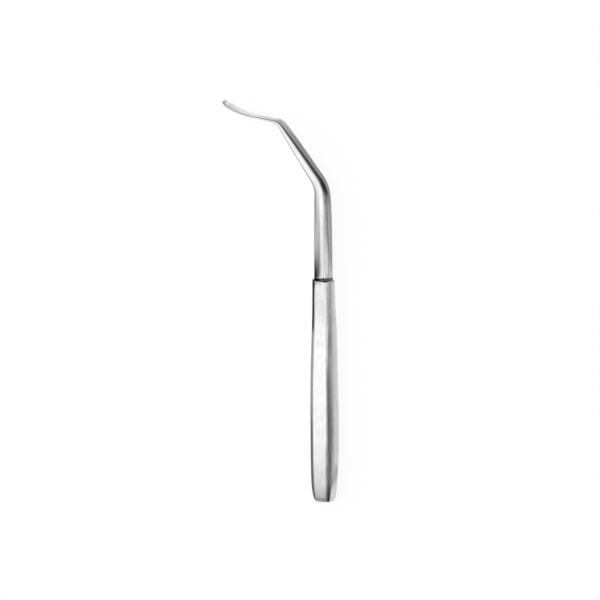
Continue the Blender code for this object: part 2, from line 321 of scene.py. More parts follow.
def skin(name, rings, joined=False):
    """Skin a row of rings into a smooth mesh with a map of (around, along) in millimetres.

    The last ring is joined to the first, or else both are closed by a fan of triangles.
    """
    rings = np.array(rings, float)
    count = rings.shape[1]
    rows = rings.shape[0]
    if joined:
        rings = np.concatenate((rings, rings[:1]))
    around = np.zeros((len(rings), count + 1))
    steps = np.linalg.norm(np.roll(rings, -1, axis=1) - rings, axis=2)
    around[:, 1:] = np.cumsum(steps, axis=1)
    along = np.concatenate(([0.0], np.cumsum(np.linalg.norm(rings[1:] - rings[:-1], axis=2).mean(axis=1))))
    faces = []
    uvs = []
    for row in range(len(rings) - 1):
        below = row * count
        above = ((row + 1) % rows) * count if joined else (row + 1) * count
        for i in range(count):
            j = (i + 1) % count
            faces.append((below + i, below + j, above + j, above + i))
            uvs += [(around[row, i], along[row]), (around[row, i + 1], along[row]),
                    (around[row + 1, i + 1], along[row + 1]), (around[row + 1, i], along[row + 1])]
    points = rings[:rows].reshape(-1, 3)
    if not joined:
        for row, order in ((0, -1), (rows - 1, 1)):
            middle = len(points)
            points = np.vstack((points, rings[row].mean(axis=0)))
            for i in range(count):
                j = (i + 1) % count
                pair = (row * count + i, row * count + j)
                faces.append((middle, *pair[::order]))
                outer = along[row] + END_FLOW
                uvs += [(0.0, along[row]), (around[row, i], outer), (around[row, i + 1], outer)]
    mesh = bpy.data.meshes.new(name)
    mesh.from_pydata([tuple(AXIS + Vector(point) * MM) for point in points], [], faces)
    layer = mesh.uv_layers.new(name="flow")
    layer.data.foreach_set("uv", np.array(uvs, np.float32).ravel())
    mesh.polygons.foreach_set("use_smooth", [True] * len(mesh.polygons))
    mesh.update()
    mesh.validate()
    piece = bpy.data.objects.new(name, mesh)
    bpy.context.scene.collection.objects.link(piece)
    fix_normals(piece)
    mesh.set_sharp_from_angle(angle=SHARP_ANGLE)
    return piece


def fix_normals(piece):
    """Turn every face outwards."""
    shape = bmesh.new()
    shape.from_mesh(piece.data)
    bmesh.ops.recalc_face_normals(shape, faces=shape.faces)
    shape.to_mesh(piece.data)
    shape.free()


# ---------------------------------------------------------------- working end

def heading_curve():
    """Even steps along the working end: distances and headings, with the bends eased in and out."""
    runs = ((SHANK_RUN, 0.0), (LOWER_BEND[0] * LOWER_BEND[1], LOWER_BEND[1]), (NECK_RUN, 0.0),
            (UPPER_BEND[0] * UPPER_BEND[1], UPPER_BEND[1]), (BLADE_RUN, 0.0),
            (BLADE_CURVE[0] * -BLADE_CURVE[1], BLADE_CURVE[1]))
    breaks = [0.0]
    turns = [0.0]
    for length, turn in runs:
        breaks.append(breaks[-1] + length)
        turns.append(turns[-1] + turn)
    distances = np.arange(0.0, breaks[-1] + LINE_STEP / 2, LINE_STEP)
    return distances, softened(np.interp(distances, breaks, turns), BEND_EASING)


DISTANCES, HEADINGS = heading_curve()
MIDWAY = (HEADINGS[1:] + HEADINGS[:-1]) / 2
LINE_X = np.concatenate(([0.0], np.cumsum(-np.sin(MIDWAY) * np.diff(DISTANCES))))
LINE_Y = np.concatenate(([0.0], np.cumsum(np.cos(MIDWAY) * np.diff(DISTANCES))))
TOTAL = float(DISTANCES[-1])


def centreline(distance):
    """Place and heading of the working end's middle: x and y from the shoulder, and the turn towards -X."""
    return [float(np.interp(distance, DISTANCES, values)) for values in (LINE_X, LINE_Y, HEADINGS)]


def bar_section(half_thickness, half_width, outer, inner, hollow, taper):
    """A bar with rounded corners: (across, up) with its broad faces at +-across.

    The outer face may be hollowed and the inner one thinned towards both edges.
    """
    limit = min(half_thickness, half_width) * LARGEST_CORNER
    outer = min(outer, limit)
    inner = min(inner, limit)
    centres = ((1, -1), (1, 1), (-1, 1), (-1, -1))
    starts = (-math.pi / 2, 0.0, math.pi / 2, math.pi)
    radii = (outer, outer, inner, inner)
    lengths = (FACE_STEPS, EDGE_STEPS, FACE_STEPS, EDGE_STEPS)
    points = []

    def on_corner(index, angle):
        radius = radii[index]
        hub = np.array(centres[index]) * (half_thickness - radius, half_width - radius)
        return hub + radius * unit(angle)

    for index, start in enumerate(starts):
        for step in range(CORNER_STEPS + 1):
            points.append(on_corner(index, start + (math.pi / 2) * step / CORNER_STEPS))
        begin = points[-1]
        end = on_corner((index + 1) % len(centres), start + math.pi / 2)
        for step in range(1, lengths[index]):
            share = step / lengths[index]
            point = begin + share * (end - begin)
            if index == 0:
                point[0] -= hollow * math.sin(math.pi * share) ** 2
            points.append(point)
    points = np.array(points)
    back = np.clip(-points[:, 0] / half_thickness, 0.0, 1.0)
    points[:, 0] += half_thickness * taper * back * (points[:, 1] / half_width) ** 2
    return points


def round_section(radius):
    """A circle whose points keep step with bar_section's."""
    start = -FACE_ARC / 2 - CORNER_ARC
    angles = []
    for steps, arc in ((FACE_STEPS, FACE_ARC), (EDGE_STEPS, EDGE_ARC)) * 2:
        angles += [start + CORNER_ARC * step / CORNER_STEPS for step in range(CORNER_STEPS + 1)]
        start += CORNER_ARC
        angles += [start + arc * step / steps for step in range(1, steps)]
        start += arc
    return radius * np.array([unit(angle) for angle in angles])


def rounding_left(to_go, length, power):
    """Share of the half width left this far from the tip, with a rounding of the given length."""
    share = max(1.0 - to_go / length, 0.0)
    return max(math.sqrt(1.0 - share**power), NARROWEST_TIP)


def working_ring(distance):
    """One ring of the working end, standing across the centreline."""
    bar = bar_section(*(table_value(rows, distance) for rows in (HALF_THICKNESS, HALF_WIDTH, OUTER_CORNER,
                                                                 INNER_CORNER, FACE_HOLLOW, BACK_TAPER)))
    share = table_value(SQUARING, distance)
    ring = bar * share + round_section(table_value(ROUND_RADIUS, distance)) * (1.0 - share)
    to_go = TOTAL - distance
    ring[:, 1] *= np.where(ring[:, 1] > 0.0, rounding_left(to_go, *TOP_ROUNDING),
                           rounding_left(to_go, *FOOT_ROUNDING))
    shift = table_value(BACK_SHIFT, distance)
    for length, depth in TIP_SETBACKS:
        shift += depth * max(1.0 - to_go / length, 0.0) ** 2
    twist = math.radians(table_value(TWIST, distance))
    offset = ring[:, 0] * math.cos(twist) - ring[:, 1] * math.sin(twist) - shift
    up = ring[:, 1] * math.cos(twist) + ring[:, 0] * math.sin(twist)
    x, y, heading = centreline(distance)
    return np.stack((x + offset * math.cos(heading), y + offset * math.sin(heading), up), axis=1)


def working_stations():
    """Distances of the rings: even along the shank, closer in the bends and at the tip."""
    tip_start = TOTAL - TIP_ROUNDING
    places = [FIRST_RING]
    while places[-1] < tip_start:
        bending = BENDS[0] <= places[-1] <= BENDS[1]
        places.append(places[-1] + (BEND_STEP if bending else RING_STEP))
    places = [place for place in places if place < tip_start - CLOSEST_RINGS]
    for step in range(TIP_RINGS):
        left = 1.0 - math.sin(math.pi / 2 * (step + 0.5) / TIP_RINGS)
        places.append(TOTAL - TIP_ROUNDING * left)
    places.append(TOTAL)
    return places


def build_working_end():
    """Blade, neck, shank and tang."""
    shoulder = table_value(ROUND_RADIUS, 0.0)

    def ring(radius, behind):
        return on_axis(round_section(radius), behind)

    rings = [ring(TANG_RADIUS - TANG_CHAMFER, TANG_LENGTH), ring(TANG_RADIUS, TANG_LENGTH - TANG_CHAMFER),
             ring(TANG_RADIUS, TANG_FLARE_START), ring(TANG_RADIUS + TANG_FLARE, 0.0),
             ring(shoulder - SHOULDER_EDGE, 0.0)]
    for step in range(1, SHOULDER_STEPS):
        forward, inward = SHOULDER_EDGE * (1.0 - unit(math.pi / 2 * step / SHOULDER_STEPS))
        rings.append(ring(shoulder - inward, -forward))
    rings += [working_ring(place) for place in working_stations()]
    return skin("elevator_working_end", rings)


# ---------------------------------------------------------------- handle

def grip_ring(distance, inset=0.0):
    """The handle's outline, standing across its axis."""
    return on_axis(grip_section(distance, inset), distance)


def build_handle():
    """Hollow shell with a rounded front edge, bored for the bush in front and for the cap behind."""
    rings = []
    for step in range(FRONT_STEPS + 1):
        behind, inset = FRONT_ROUND * (1.0 - unit(math.pi / 2 * step / FRONT_STEPS))
        rings.append(grip_ring(SHELL_START + behind, inset))
    for distance in np.arange(SHELL_START + FRONT_ROUND + GRIP_STEP, SHELL_END - GRIP_STEP / 2, GRIP_STEP):
        rings.append(grip_ring(distance))
    rings += [grip_ring(SHELL_END - RIM), grip_ring(SHELL_END, SEAM_DEPTH)]
    rear = SHELL_END - REAR_BORE_LENGTH
    rings += [on_axis(circle(REAR_BORE_RADIUS), distance) for distance in (SHELL_END, rear)]
    for distance in np.arange(rear - HOLLOW_SLOPE, HOLLOW_FRONT, -HOLLOW_STEP):
        rings.append(on_axis(circle(barrel_radius(distance) * math.cos(HALF_ARC) - WALL), distance))
    front_bore = circle(BUSH_RADIUS + FIT_GAP)
    rings += [on_axis(front_bore, distance) for distance in (FRONT_BORE_END, SHELL_START)]
    return skin("elevator_handle", rings, joined=True)


def build_weld():
    """Dressed seam ring, a hair below the flats."""
    start = SHELL_END + SEAM_GAP
    end = CAP_START - SEAM_GAP
    places = (start, start + RIM, (start + end) / 2, end - RIM, end)
    rings = [grip_ring(place, inset) for place, inset in zip(places, WELD_INSETS)]
    rings += [on_axis(circle(REAR_BORE_RADIUS), place) for place in (end, start)]
    return skin("elevator_butt_weld", rings, joined=True)


def build_cap():
    """Spigot and rounded head."""
    spigot = REAR_BORE_RADIUS - FIT_GAP
    start = SHELL_END - REAR_BORE_LENGTH + SPIGOT_GAP
    rings = [on_axis(circle(spigot - CHAMFER), start), on_axis(circle(spigot), start + CHAMFER),
             on_axis(circle(spigot), CAP_START)]
    rings += [grip_ring(CAP_START, SEAM_DEPTH), grip_ring(CAP_START + RIM)]
    for step in range(1, CAP_STEPS + 1):
        share = math.sin(math.pi / 2 * step / CAP_STEPS)
        rings.append(grip_ring(CAP_START + RIM + (CAP_END - CAP_START - RIM) * share))
    for share in END_FACE_SHARES:
        rings.append(on_axis([(x * share, z * share) for x, z in grip_section(CAP_END)], CAP_END))
    return skin("elevator_butt_cap", rings)


def lathed(name, profile, wobble=0.0):
    """Turn a closed (radius, distance) profile about the handle's axis, rippled by the wobble."""
    rings = []
    for index, (radius, distance) in enumerate(profile):
        section = []
        for i, point in enumerate(circle(1.0, LATHE_COUNT)):
            angle = 2.0 * math.pi * i / LATHE_COUNT
            ripple = sum(share * math.sin(waves * angle + start + drift * index)
                         for share, waves, start, drift in RIPPLES)
            section.append(point * (radius + wobble * ripple))
        rings.append(on_axis(section, distance))
    return skin(name, rings, joined=True)


def build_ring():
    """Ring of braze with a slightly hollow, uneven face."""
    inner = TANG_RADIUS + FIT_GAP
    profile = [(inner, FIT_GAP)]
    for step in range(RING_STEPS + 1):
        share = step / RING_STEPS
        radius = RING_RADIUS - RING_HOLLOW * math.sin(math.pi * share)
        profile.append((radius, FIT_GAP + (RING_END - FIT_GAP) * share))
    profile.append((inner, RING_END))
    return lathed("elevator_braze_ring", profile, wobble=RING_WOBBLE)


def build_bush():
    """Turned bush inside the front of the handle, with a groove round its middle."""
    inner = TANG_RADIUS + FIT_GAP
    start = SHELL_START
    end = start + BUSH_LENGTH
    middle = (start + end) / 2
    groove = BUSH_RADIUS - GROOVE_DEPTH
    profile = ((inner, start), (BUSH_RADIUS - CHAMFER, start), (BUSH_RADIUS, start + CHAMFER),
               (BUSH_RADIUS, middle - GROOVE_TOP), (groove, middle - GROOVE_FLOOR),
               (groove, middle + GROOVE_FLOOR), (BUSH_RADIUS, middle + GROOVE_TOP),
               (BUSH_RADIUS, end - CHAMFER), (BUSH_RADIUS - CHAMFER, end), (inner, end))
    return lathed("elevator_front_bush", profile)


# ---------------------------------------------------------------- metals

# A metal's colour, roughness, brushing, streaks in a millimetre round the piece, and spread of roughness.
METALS = {
    "forged_stainless": ((0.66, 0.66, 0.664), 0.16, 0.30, 6.0, 0.06),
    "braze_alloy": ((0.078, 0.075, 0.072), 0.34, 0.6, 3.0, 0.2),
    "turned_stainless": ((0.62, 0.62, 0.63), 0.30, 0.5, 5.0, 0.10),
    "handle_stainless": ((0.72, 0.72, 0.725), 0.20, 0.35, 7.0, 0.08),
    "weld_stainless": ((0.69, 0.69, 0.69), 0.23, 0.4, 5.0, 0.10),
    "cap_stainless": ((0.71, 0.71, 0.715), 0.22, 0.35, 7.0, 0.08),
}

# Textures.  Streaks and scratches are scaled by the millimetre, round the piece and along it, and clouds
# and mottling by the metre.  A noise counts between two of its values and shifts a tone a little each way.
BROAD_SHARE = 0.35
BROAD_ALONG = 0.035
FINE_ALONG = 0.10
NOISE_RANGE = (0.3, 0.7)
BROAD_TONES = (0.94, 1.0)
BROAD_HEIGHT = 1.4
CLOUD_SCALE = (160.0, 60.0, 160.0)
CLOUD_TONE = 0.02
CLOUD_ROUGHNESS = 0.3
MOTTLE_SCALE = (620.0, 380.0, 620.0)
MOTTLE_RANGE = (0.35, 0.65)
MOTTLE_TONE = 0.035
SCRATCH_SCALE = (4.2, 0.22, 1.0)
SCRATCH_TURN = math.radians(24.0)
SCRATCH_RANGE = (0.70, 0.74)
SCRATCH_ROUGHNESS = 0.05
SCRATCH_DEPTH = 0.35
BUMP_HEIGHT = 0.00001

# Painted shade on the braze: how bright its colour is, by the millimetre to the right of the axis, near
# black on the left and lighter on the right.
BRAZE_SHADE = ((-4.0, 0.03), (-1.8, 0.05), (-1.0, 0.15), (0.0, 1.0), (0.8, 1.55), (2.6, 1.7), (4.0, 2.8))


class Shading:
    """Short ways to write a node tree of sums, products and ramps."""

    def __init__(self, tree):
        self.nodes = tree.nodes
        self.links = tree.links

    def maths(self, operation, *values):
        stage = self.nodes.new("ShaderNodeMath")
        stage.operation = operation
        for socket, value in zip(stage.inputs, values):
            if isinstance(value, (int, float)):
                socket.default_value = value
            else:
                self.links.new(value, socket)
        return stage.outputs[0]

    def levels(self, value, stops):
        """Read a table of (place, level) at a value, straight between the stops."""
        low = stops[0][0]
        span = stops[-1][0] - low
        ramp = self.nodes.new("ShaderNodeValToRGB")
        elements = ramp.color_ramp.elements
        while len(elements) < len(stops):
            elements.new(0.5)
        top = max(level for place, level in stops)
        for element, (place, level) in zip(elements, stops):
            element.position = (place - low) / span
            element.color = (level / top, level / top, level / top, 1.0)
        self.links.new(self.maths("DIVIDE", self.maths("SUBTRACT", value, low), span), ramp.inputs["Fac"])
        return self.maths("MULTIPLY", ramp.outputs["Color"], top)

    def blend(self, first, second, share):
        """The first value, going over to the second as share rises from 0 to 1."""
        rest = self.maths("SUBTRACT", 1.0, share)
        return self.maths("ADD", self.maths("MULTIPLY", first, rest), self.maths("MULTIPLY", second, share))

    def window(self, value, low, high, soft):
        """1 between low and high, falling to 0 over a soft margin outside them."""
        return self.levels(value, ((low - soft - 1.0, 0.0), (low - soft, 0.0), (low, 1.0), (high, 1.0),
                                   (high + soft, 0.0), (high + soft + 1.0, 0.0)))

    def place(self, source):
        """The parts of a texture coordinate, such as its x, y and z."""
        split = self.nodes.new("ShaderNodeSeparateXYZ")
        self.links.new(self.nodes.new("ShaderNodeTexCoord").outputs[source], split.inputs[0])
        return split.outputs


def metal(name, colour, roughness, brushing, streak_scale, spread):
    """A metal with brushing along the piece, cloudy polish, mottling and fine stray scratches."""
    material = bpy.data.materials.new(name)
    material.use_nodes = True
    shading = Shading(material.node_tree)
    nodes = shading.nodes
    links = shading.links
    shader = nodes["Principled BSDF"]
    shader.inputs["Metallic"].default_value = 1.0
    place = nodes.new("ShaderNodeTexCoord")

    def noise(source, scale, detail, rotation=0.0):
        mapping = nodes.new("ShaderNodeMapping")
        mapping.inputs["Scale"].default_value = scale
        mapping.inputs["Rotation"].default_value = (0.0, 0.0, rotation)
        links.new(place.outputs[source], mapping.inputs["Vector"])
        texture = nodes.new("ShaderNodeTexNoise")
        texture.inputs["Scale"].default_value = 1.0
        texture.inputs["Detail"].default_value = detail
        links.new(mapping.outputs["Vector"], texture.inputs["Vector"])
        return texture.outputs["Fac"]

    def ramp(value, low, high, start, end):
        stage = nodes.new("ShaderNodeMapRange")
        stage.clamp = True
        stage.inputs["From Min"].default_value = low
        stage.inputs["From Max"].default_value = high
        stage.inputs["To Min"].default_value = start
        stage.inputs["To Max"].default_value = end
        links.new(value, stage.inputs["Value"])
        return stage.outputs["Result"]

    broad = noise("UV", (streak_scale * BROAD_SHARE, BROAD_ALONG, 1.0), 3.0)
    fine = noise("UV", (streak_scale, FINE_ALONG, 1.0), 5.0)
    cloud = noise("Object", CLOUD_SCALE, 4.0)
    mottle = noise("Object", MOTTLE_SCALE, 2.0)
    scratch = ramp(noise("UV", SCRATCH_SCALE, 2.0, SCRATCH_TURN), *SCRATCH_RANGE, 0.0, 1.0)

    clouding = spread * CLOUD_ROUGHNESS
    rough = shading.maths("ADD", ramp(fine, *NOISE_RANGE, roughness - spread / 2, roughness + spread / 2),
                          ramp(cloud, *NOISE_RANGE, -clouding, clouding))
    rough = shading.maths("ADD", rough, shading.maths("MULTIPLY", scratch, SCRATCH_ROUGHNESS))
    links.new(rough, shader.inputs["Roughness"])

    tone = shading.maths("ADD", ramp(broad, *NOISE_RANGE, *BROAD_TONES),
                         ramp(cloud, *NOISE_RANGE, -CLOUD_TONE, CLOUD_TONE))
    tone = shading.maths("ADD", tone, ramp(mottle, *MOTTLE_RANGE, -MOTTLE_TONE, MOTTLE_TONE))
    tint = nodes.new("ShaderNodeCombineColor")
    for socket, part in zip(tint.inputs, colour):
        links.new(shading.maths("MULTIPLY", tone, part), socket)
    links.new(tint.outputs[0], shader.inputs["Base Color"])

    height = shading.maths("ADD", fine, shading.maths("MULTIPLY", broad, BROAD_HEIGHT))
    height = shading.maths("SUBTRACT", height, shading.maths("MULTIPLY", scratch, SCRATCH_DEPTH))
    bump = nodes.new("ShaderNodeBump")
    bump.inputs["Strength"].default_value = brushing
    bump.inputs["Distance"].default_value = BUMP_HEIGHT
    links.new(height, bump.inputs["Height"])
    links.new(bump.outputs["Normal"], shader.inputs["Normal"])
    return material


def shaded_to_left(material):
    """The same material with painted shade: near black towards the left side of the piece, lighter towards
    its right.
    """
    shading = Shading(material.node_tree)
    base = shading.nodes["Principled BSDF"].inputs["Base Color"]
    across = shading.maths("DIVIDE", shading.maths("SUBTRACT", shading.place("Object")[0], AXIS.x), MM)
    tint = shading.nodes.new("ShaderNodeVectorMath")
    tint.operation = "SCALE"
    shading.links.new(base.links[0].from_socket, tint.inputs[0])
    shading.links.new(shading.levels(across, BRAZE_SHADE), tint.inputs["Scale"])
    shading.links.new(tint.outputs["Vector"], base)
    return material


PIECES = (
    (build_working_end, "working_end", "forged_stainless"),
    (build_ring, "braze_ring", "braze_alloy"),
    (build_bush, "front_bush", "turned_stainless"),
    (build_handle, "handle_shell", "handle_stainless"),
    (build_weld, "butt_weld", "weld_stainless"),
    (build_cap, "butt_cap", "cap_stainless"),
)

for build, node, slot in PIECES:
    piece = build()
    material = metal(slot, *METALS[slot])
    # The braze ring's colour carries painted shade, darkest on its left side.
    piece.data.materials.append(shaded_to_left(material) if node == "braze_ring" else material)
    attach(piece, "root")
    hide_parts(node)


# ---------------------------------------------------------------- studio

# Everything in the studio is placed in millimetres: right of the shoulder, forward of it, and up from the
# ground.  The camera sees the floor, and the metal reflects the table and the sheets instead.
FLOOR_HALF = 6000.0
FLOOR_HEIGHT = -0.04
FLOOR_GREY = 0.14
FLOOR_GLOW = 0.915
TABLE_HALF = 400.0
TABLE_HEIGHT = -0.03

# The table's glow from left to right, then patches laid on it: the level, the stretch across and its
# margin, the stretch along and its margin, and how much of the patch counts.  The dimmer glow close beside
# the piece is painted shadow of the piece on the table.
TABLE_ACROSS = ((-400.0, 0.32), (-64.0, 0.34), (-44.0, 0.36), (-40.0, 0.60), (-25.0, 0.60), (-14.0, 0.40),
                (0.0, 0.40), (10.0, 0.50), (20.0, 0.50), (32.0, 0.66), (48.0, 0.74), (62.0, 0.55),
                (78.0, 0.22), (110.0, 0.12), (160.0, 0.06), (400.0, 0.05))
TABLE_PATCHES = (
    (0.92, (8.0, 50.0), 14.0, (-99.0, -4.0), 9.0, 1.0),
    (0.16, (-20.0, 50.0), 14.0, (-180.0, -120.0), 8.0, 1.0),
    (0.10, (68.0, 390.0), 5.0, (-300.0, -70.0), 12.0, 1.0),
    (0.10, (44.0, 390.0), 12.0, (-300.0, -96.0), 12.0, 1.0),
    (0.10, (-120.0, 120.0), 20.0, (94.0, 390.0), 6.0, 1.0),
    (0.04, (12.0, 390.0), 6.0, (36.0, 390.0), 8.0, 1.0),
    (0.72, (-38.0, -10.0), 4.0, (60.0, 70.0), 4.0, 1.0),
    (0.03, (-60.0, -7.0), 1.5, (-22.0, 3.0), 3.0, 1.0),
    (0.12, (-40.0, -6.0), 3.0, (-120.0, -66.0), 14.0, 0.8),
    (0.56, (17.0, 24.0), 5.0, (-87.0, -83.0), 4.0, 1.0),
    (0.30, (40.0, 64.0), 7.0, (-110.0, -87.0), 7.0, 1.0),
    (0.22, (25.0, 40.0), 6.0, (-106.0, -90.0), 4.0, 1.0),
)

# The strip under the blade: its height, its edges out from the blade's middle, how far it goes past the
# tip, and its glow by the height on the blade that reflects it towards SEEN_FROM.
STRIP_START = 58.0
STRIP_BEYOND = 2.6
STRIP_STEP = 0.5
STRIP_HEIGHT = -0.02
STRIP_EDGES = (0.2, 8.0)
FACE_OUT = 0.4
SEEN_FROM = (0.36, 0.19, 0.913)
STRIP_GLOW = ((-4.0, 1.50), (2.6, 1.47), (3.6, 1.36), (4.4, 1.12), (5.2, 0.84), (8.0, 0.62), (60.0, 0.60))
STRIP_FADE_IN = ((0.0, 0.0), (59.0, 0.0), (72.0, 1.0), (100.0, 1.0))
STRIP_TIP = ((0.0, 0.0), (TOTAL + 0.3, 0.0), (TOTAL + 1.3, 0.7), (TOTAL + 10.0, 0.7))
NECK_GLOW = 0.42
TIP_GLOW = 0.2

# The screen: its edges, its ends, and the glow by the way up it and then over to the right, close to the
# joint, further forward, and over the neck.  The last two tables fade from each of these to the next.
SCREEN_LEFT = -25.0
SCREEN_RIGHT = 3.0
SCREEN_TOP = 45.0
SCREEN_BACK = -7.8
SCREEN_FRONT = 34.0
SCREEN_NEAR = ((0.0, 0.02), (8.0, 0.02), (17.0, 0.07), (27.0, 0.18), (44.0, 0.30), (56.0, 0.60),
               (66.0, 0.95), (73.0, 1.4))
SCREEN_FAR = ((0.0, 0.76), (45.0, 0.76), (56.0, 0.84), (66.0, 1.30), (73.0, 1.60))
SCREEN_OPENED = ((0.0, 0.26), (7.0, 0.32), (17.0, 0.60), (27.0, 0.84), (44.0, 1.06), (56.0, 1.34),
                 (73.0, 1.6))
TO_FAR = ((-8.0, 0.0), (-2.0, 0.0), (9.0, 1.0), (34.0, 1.0))
TO_OPENED = ((-8.0, 0.0), (14.0, 0.0), (25.0, 1.0), (34.0, 1.0))

# The cloud: its edges, its ends, its height, the glow across it where it is clear and where it is dim, and
# the dim stretch with its margin.
CLOUD_EDGES = (-30.0, 4.0)
CLOUD_ENDS = (-34.0, SCREEN_BACK)
CLOUD_HEIGHT = 45.0
CLOUD_CLEAR = ((-30.0, 1.32), (-24.0, 1.34), (4.0, 1.46))
CLOUD_DIM = ((-30.0, 1.32), (-20.0, 1.26), (-9.0, 1.04), (-2.0, 1.00), (4.0, 1.04))
DIM_STRETCH = (-19.0, -14.5, 5.0)

# The card: where it stands, its ends, its heights, and the glow by height, with an even stretch beside the
# joint and an uneven one over it, each with its margin.
CARD_ACROSS = 30.0
CARD_ENDS = (-42.0, 9.0)
CARD_HEIGHTS = (8.0, 66.0)
CARD_REST = ((0.0, 0.30), (8.0, 0.36), (10.0, 0.55), (17.0, 0.82), (26.0, 0.96), (38.0, 1.0), (66.0, 1.08))
CARD_JOINT = 1.02
JOINT_STRETCH = (-20.0, 0.0, 8.0)
CARD_UNEVEN = ((0.0, 0.80), (8.0, 0.76), (14.0, 0.54), (21.0, 0.56), (31.0, 0.82), (38.0, 1.12),
               (45.0, 1.36), (66.0, 1.38))
UNEVEN_STRETCH = (-20.0, -8.0, 6.0)


def studio_piece(name, places, faces, material):
    """A mesh of the studio, from places in millimetres."""
    mesh = bpy.data.meshes.new(name)
    mesh.from_pydata([(AXIS.x + x * MM, AXIS.y + y * MM, z * MM) for x, y, z in places], [], faces)
    mesh.materials.append(material)
    piece = bpy.data.objects.new(name, mesh)
    bpy.context.scene.collection.objects.link(piece)
    return piece


def level_square(name, half, height, material):
    """A level square of the studio, centred on the shoulder."""
    corners = ((-half, -half, height), (half, -half, height), (half, half, height), (-half, half, height))
    return studio_piece(name, corners, [(0, 1, 2, 3)], material)


def reflected_only(piece):
    """The piece is there for the metal to reflect, and for nothing else."""
    piece.visible_camera = False
    piece.visible_diffuse = False
    piece.visible_shadow = False
    piece.visible_transmission = False


def matt(name, grey, glow):
    """A matt studio surface; glow lifts it evenly."""
    material = bpy.data.materials.new(name)
    material.use_nodes = True
    shader = material.node_tree.nodes["Principled BSDF"]
    shader.inputs["Base Color"].default_value = (grey, grey, grey, 1.0)
    shader.inputs["Roughness"].default_value = 1.0
    shader.inputs["Specular IOR Level"].default_value = 0.0
    shader.inputs["Emission Color"].default_value = (1.0, 1.0, 1.0, 1.0)
    shader.inputs["Emission Strength"].default_value = glow
    return material


def glowing(name):
    """An unlit material, with its shading and the socket for its strength."""
    material = bpy.data.materials.new(name)
    material.use_nodes = True
    tree = material.node_tree
    tree.nodes.remove(tree.nodes["Principled BSDF"])
    glow = tree.nodes.new("ShaderNodeEmission")
    tree.links.new(glow.outputs["Emission"], tree.nodes["Material Output"].inputs["Surface"])
    return material, Shading(tree), glow.inputs["Strength"]


def reflected_sheet(name, rows, material):
    """A sheet for the metal to reflect, from rows of ((x, y, z), (u, v)) points, u and v to shade it by."""
    count = len(rows[0])
    places = [place for row in rows for place, uv in row]
    flat_uvs = [uv for row in rows for place, uv in row]
    faces = [(r * count + i, r * count + i + 1, (r + 1) * count + i + 1, (r + 1) * count + i)
             for r in range(len(rows) - 1) for i in range(count - 1)]
    sheet = studio_piece(name, places, faces, material)
    layer = sheet.data.uv_layers.new(name="flow")
    layer.data.foreach_set("uv", [value for face in faces for i in face for value in flat_uvs[i]])
    reflected_only(sheet)


def table():
    """What the metal sees of the table: pale beside the handle, dark by the joint and far off, with painted
    shadow of the piece where it glows dimmer close beside it.
    """
    material, shading, strength = glowing("table_glow")
    x, y = shading.place("Object")[:2]
    right = shading.maths("DIVIDE", shading.maths("SUBTRACT", x, AXIS.x), MM)
    forward = shading.maths("DIVIDE", shading.maths("SUBTRACT", y, AXIS.y), MM)
    glow = shading.levels(right, TABLE_ACROSS)
    for level, across, side_margin, along, end_margin, share in TABLE_PATCHES:
        mask = shading.maths("MULTIPLY", shading.window(right, *across, side_margin),
                             shading.window(forward, *along, end_margin))
        glow = shading.blend(glow, level, shading.maths("MULTIPLY", mask, share))
    shading.links.new(glow, strength)
    reflected_only(level_square("reflected_table", TABLE_HALF, TABLE_HEIGHT, material))


def blade_sheen():
    """The table close in front of the blade, darker where the blade's upper part reflects it.

    A row of the sheet lies across the centreline.  Its map is the distance along the blade, and the height
    on the outer face where that place of the sheet is seen.
    """
    across, along, above = SEEN_FROM
    rows = []
    for distance in np.arange(STRIP_START, TOTAL + STRIP_BEYOND, STRIP_STEP):
        inside = min(distance, TOTAL)
        x, y, heading = centreline(inside)
        x -= math.sin(heading) * (distance - inside)
        y += math.cos(heading) * (distance - inside)
        lean = math.sin(math.radians(table_value(TWIST, inside)))
        side = across * math.cos(heading) + along * math.sin(heading)
        slant = (side + 2.0 * above * lean) / (above - 2.0 * (side + above * lean) * lean)
        rows.append([((x + out * math.cos(heading), y + out * math.sin(heading), STRIP_HEIGHT),
                      (distance, (out - FACE_OUT) / slant)) for out in STRIP_EDGES])
    material, shading, strength = glowing("strip_glow")
    distance, height = shading.place("UV")[:2]
    glow = shading.levels(height, STRIP_GLOW)
    glow = shading.blend(NECK_GLOW, glow, shading.levels(distance, STRIP_FADE_IN))
    shading.links.new(shading.blend(glow, TIP_GLOW, shading.levels(distance, STRIP_TIP)), strength)
    reflected_sheet("reflected_strip", rows, material)


def dark_screen():
    """A screen left of and over the shank: dark by the joint, mid grey further forward."""
    profile = ((SCREEN_LEFT, 0.0, 0.0), (SCREEN_LEFT, SCREEN_TOP, SCREEN_TOP),
               (SCREEN_RIGHT, SCREEN_TOP, SCREEN_TOP + SCREEN_RIGHT - SCREEN_LEFT))
    rows = [[((x, y, z), (way, y)) for x, z, way in profile] for y in (SCREEN_BACK, SCREEN_FRONT)]
    material, shading, strength = glowing("screen_glow")
    way, forward = shading.place("UV")[:2]
    glow = shading.blend(shading.levels(way, SCREEN_NEAR), shading.levels(way, SCREEN_FAR),
                         shading.levels(forward, TO_FAR))
    glow = shading.blend(glow, shading.levels(way, SCREEN_OPENED), shading.levels(forward, TO_OPENED))
    shading.links.new(glow, strength)
    reflected_sheet("reflected_screen", rows, material)


def soft_cloud():
    """A dimmer patch of the roof over the front of the handle."""
    rows = [[((x, y, CLOUD_HEIGHT), (x, y)) for x in CLOUD_EDGES] for y in CLOUD_ENDS]
    material, shading, strength = glowing("cloud_glow")
    x, y = shading.place("UV")[:2]
    shading.links.new(shading.blend(shading.levels(x, CLOUD_CLEAR), shading.levels(x, CLOUD_DIM),
                                    shading.window(y, *DIM_STRETCH)), strength)
    reflected_sheet("reflected_cloud", rows, material)


